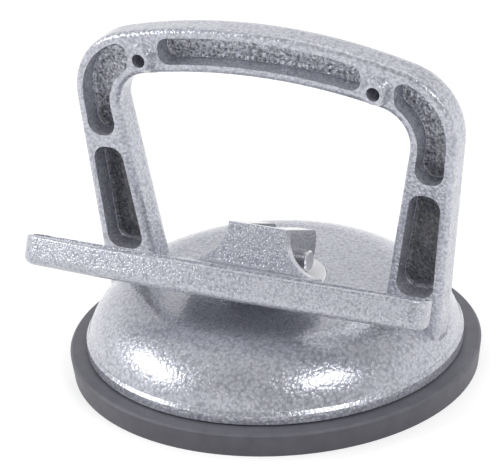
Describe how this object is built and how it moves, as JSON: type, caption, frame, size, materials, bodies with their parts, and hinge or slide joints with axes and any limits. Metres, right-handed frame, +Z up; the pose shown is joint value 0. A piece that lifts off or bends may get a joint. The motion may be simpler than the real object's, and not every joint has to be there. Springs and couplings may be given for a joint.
{
  "type": "floor tile suction lifter",
  "caption": "Hand suction lifter: rubber vacuum cup under a cast dome with an arched handle, worked by a cam lever with a wide finger blade.",
  "frame": {"origin": "Centre of the cup's sealing face, where the lifter stands on the tile.", "axes": "+Z up along the pull stud, X along the handle bar and the lever's pivot pin, -Y towards the lever's finger blade."},
  "size_m": [0.1226, 0.118, 0.1012],
  "materials": {
    "hammertone_casting": "glossy silver-grey hammertone paint on cast aluminium",
    "white_nylon": "smooth moulded nylon",
    "bright_steel": "turned bright steel",
    "zinc_steel": "dull zinc-plated steel",
    "black_rubber": "matt moulded rubber"
  },
  "bodies": {
    "housing_body": {"housing": "hammertone_casting", "cam_pad": "white_nylon", "rubber_cup": "black_rubber"},
    "stud_body": {"eye_stud": "bright_steel", "lock_nut": "zinc_steel", "insert_plate": "zinc_steel"},
    "lever_body": {"lever": "hammertone_casting", "pivot_pin": "bright_steel"}
  },
  "joints": [
    {"name": "stud_lift", "type": "slide", "parent": "housing_body", "child": "stud_body", "axis": [0, 0, 1], "range_m": [0, 0.00381]},
    {"name": "lever_turn", "type": "hinge", "parent": "stud_body", "child": "lever_body", "pos_m": [0, 0, 0.0328], "axis": [-1, 0, 0], "range_deg": [0, 64]}
  ],
  "couplings": [
    {"joint": "stud_lift", "follows": "lever_turn", "m_per_rad": 0.0034}
  ]
}
